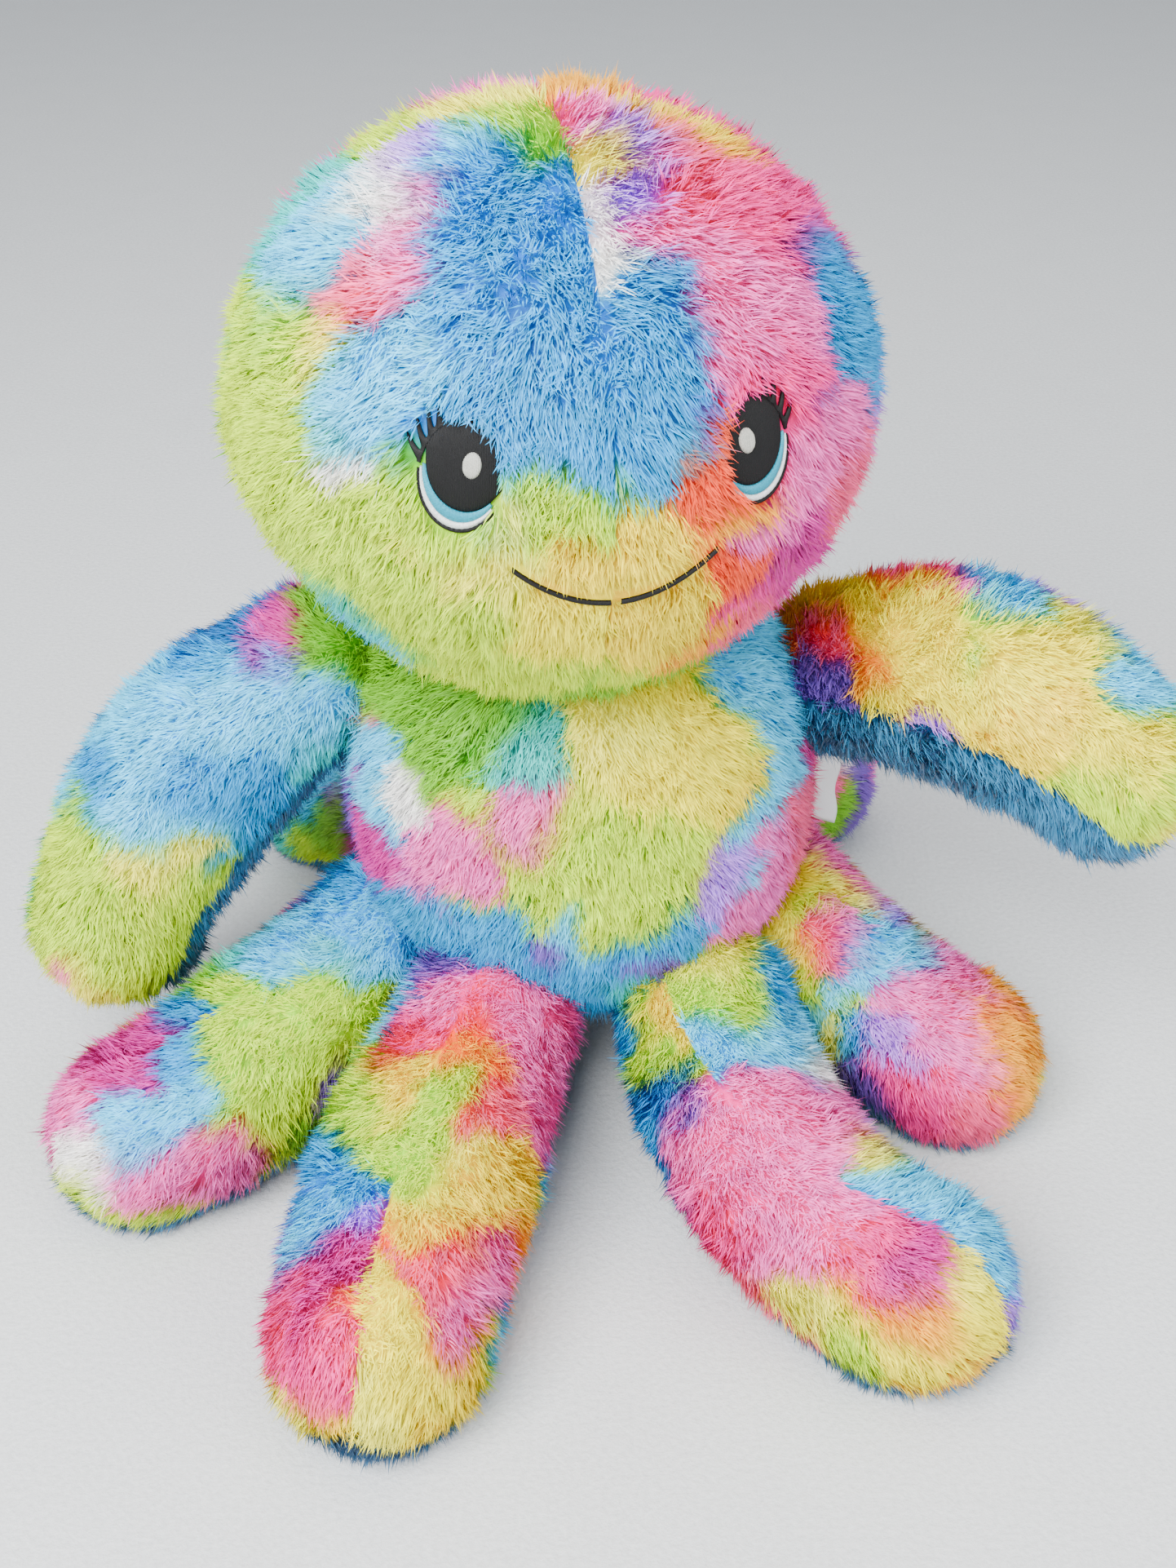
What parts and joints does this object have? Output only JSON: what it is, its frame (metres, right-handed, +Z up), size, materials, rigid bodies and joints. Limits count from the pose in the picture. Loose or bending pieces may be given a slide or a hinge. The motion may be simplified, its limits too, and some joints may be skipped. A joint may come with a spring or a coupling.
{
  "type": "plush octopus toy",
  "caption": "Soft plush octopus toy in patchy pastel tie-dye pile, with a big round head, embroidered eyes and smile, two arms and six legs with plain blue undersides.",
  "frame": {"origin": "on the floor under the middle of the toy's bounding box", "axes": "+Z up, front of the toy towards -Y, +X towards the viewer's right when looking at its face"},
  "size_m": [0.4496, 0.423, 0.4116],
  "materials": {
    "dyed_plush": "matte",
    "blue_plush": "matte",
    "fibre_filling": "matte",
    "black_thread": "satin",
    "teal_thread": "satin",
    "white_thread": "satin",
    "satin_label": "satin"
  },
  "bodies": {
    "torso": {"back_closing_stitches": "white_thread", "care_label": "satin_label", "torso_back_left": "dyed_plush", "torso_back_right": "dyed_plush", "torso_base": "blue_plush", "torso_front": "dyed_plush", "torso_stuffing": "fibre_filling"},
    "neck": {"neck_seam_thread": "white_thread"},
    "head": {"eye_left_glint": "white_thread", "eye_left_iris": "teal_thread", "eye_left_lashes": "black_thread", "eye_left_outline": "black_thread", "eye_left_pupil": "black_thread", "eye_left_white": "white_thread", "eye_right_glint": "white_thread", "eye_right_iris": "teal_thread", "eye_right_lashes": "black_thread", "eye_right_outline": "black_thread", "eye_right_pupil": "black_thread", "eye_right_white": "white_thread", "head_panel_back_left": "dyed_plush", "head_panel_back_right": "dyed_plush", "head_panel_front_left": "dyed_plush", "head_panel_front_right": "dyed_plush", "head_stuffing": "fibre_filling", "mouth_left": "black_thread", "mouth_right": "black_thread"},
    "arm_left": {"arm_left_panel_top": "dyed_plush", "arm_left_panel_under": "blue_plush", "arm_left_stuffing": "fibre_filling"},
    "arm_right": {"arm_right_panel_top": "dyed_plush", "arm_right_panel_under": "blue_plush", "arm_right_stuffing": "fibre_filling"},
    "leg_front_left": {"leg_front_left_panel_left": "dyed_plush", "leg_front_left_panel_right": "dyed_plush", "leg_front_left_sole": "blue_plush", "leg_front_left_stuffing": "fibre_filling"},
    "leg_front_right": {"leg_front_right_panel_left": "dyed_plush", "leg_front_right_panel_right": "dyed_plush", "leg_front_right_sole": "blue_plush", "leg_front_right_stuffing": "fibre_filling"},
    "leg_rear_left": {"leg_rear_left_panel_left": "dyed_plush", "leg_rear_left_panel_right": "dyed_plush", "leg_rear_left_sole": "blue_plush", "leg_rear_left_stuffing": "fibre_filling"},
    "leg_rear_right": {"leg_rear_right_panel_left": "dyed_plush", "leg_rear_right_panel_right": "dyed_plush", "leg_rear_right_sole": "blue_plush", "leg_rear_right_stuffing": "fibre_filling"},
    "leg_side_left": {"leg_side_left_panel_left": "dyed_plush", "leg_side_left_panel_right": "dyed_plush", "leg_side_left_sole": "blue_plush", "leg_side_left_stuffing": "fibre_filling"},
    "leg_side_right": {"leg_side_right_panel_left": "dyed_plush", "leg_side_right_panel_right": "dyed_plush", "leg_side_right_sole": "blue_plush", "leg_side_right_stuffing": "fibre_filling"}
  },
  "joints": [
    {"name": "leg_front_left_hip", "type": "hinge", "parent": "torso", "child": "leg_front_left", "pos_m": [-0.03741, -0.04876, 0.06596], "axis": [-0.9613, 0.2756, 0], "range_deg": [-8, 25], "stiffness_Nm_per_rad": 3},
    {"name": "leg_front_right_hip", "type": "hinge", "parent": "torso", "child": "leg_front_right", "pos_m": [0.04924, -0.04058, 0.0656], "axis": [-0.866, -0.5, 0], "range_deg": [-8, 25], "stiffness_Nm_per_rad": 3},
    {"name": "leg_side_left_hip", "type": "hinge", "parent": "torso", "child": "leg_side_left", "pos_m": [-0.08175, 0.00665, 0.06437], "axis": [-0.6428, 0.766, 0], "range_deg": [-8, 8], "stiffness_Nm_per_rad": 3},
    {"name": "leg_side_right_hip", "type": "hinge", "parent": "torso", "child": "leg_side_right", "pos_m": [0.08197, 0.02723, 0.06428], "axis": [-0.5878, -0.809, 0], "range_deg": [-8, 15], "stiffness_Nm_per_rad": 3},
    {"name": "leg_rear_left_hip", "type": "hinge", "parent": "torso", "child": "leg_rear_left", "pos_m": [-0.04137, 0.0951, 0.06586], "axis": [0.6293, 0.7771, 0], "range_deg": [-8, 25], "stiffness_Nm_per_rad": 3},
    {"name": "leg_rear_right_hip", "type": "hinge", "parent": "torso", "child": "leg_rear_right", "pos_m": [0.03701, 0.09651, 0.06593], "axis": [0.7547, -0.6561, 0], "range_deg": [-8, 25], "stiffness_Nm_per_rad": 3},
    {"name": "arm_left_shoulder", "type": "hinge", "parent": "torso", "child": "arm_left", "pos_m": [-0.10429, 0.02403, 0.18569], "axis": [0, 1, 0], "range_deg": [0, 60], "stiffness_Nm_per_rad": 1.2},
    {"name": "arm_right_shoulder", "type": "hinge", "parent": "torso", "child": "arm_right", "pos_m": [0.10262, 0.02435, 0.18569], "axis": [0, -1, 0], "range_deg": [-25, 30], "stiffness_Nm_per_rad": 1.2},
    {"name": "head_turn", "type": "hinge", "parent": "torso", "child": "neck", "pos_m": [-0.00984, -0.00881, 0.31367], "axis": [0, 0, 1], "range_deg": [-30, 30], "stiffness_Nm_per_rad": 2},
    {"name": "head_nod", "type": "hinge", "parent": "neck", "child": "head", "pos_m": [-0.00984, -0.00881, 0.31367], "axis": [1, 0, 0], "range_deg": [-10, 12], "stiffness_Nm_per_rad": 3}
  ]
}
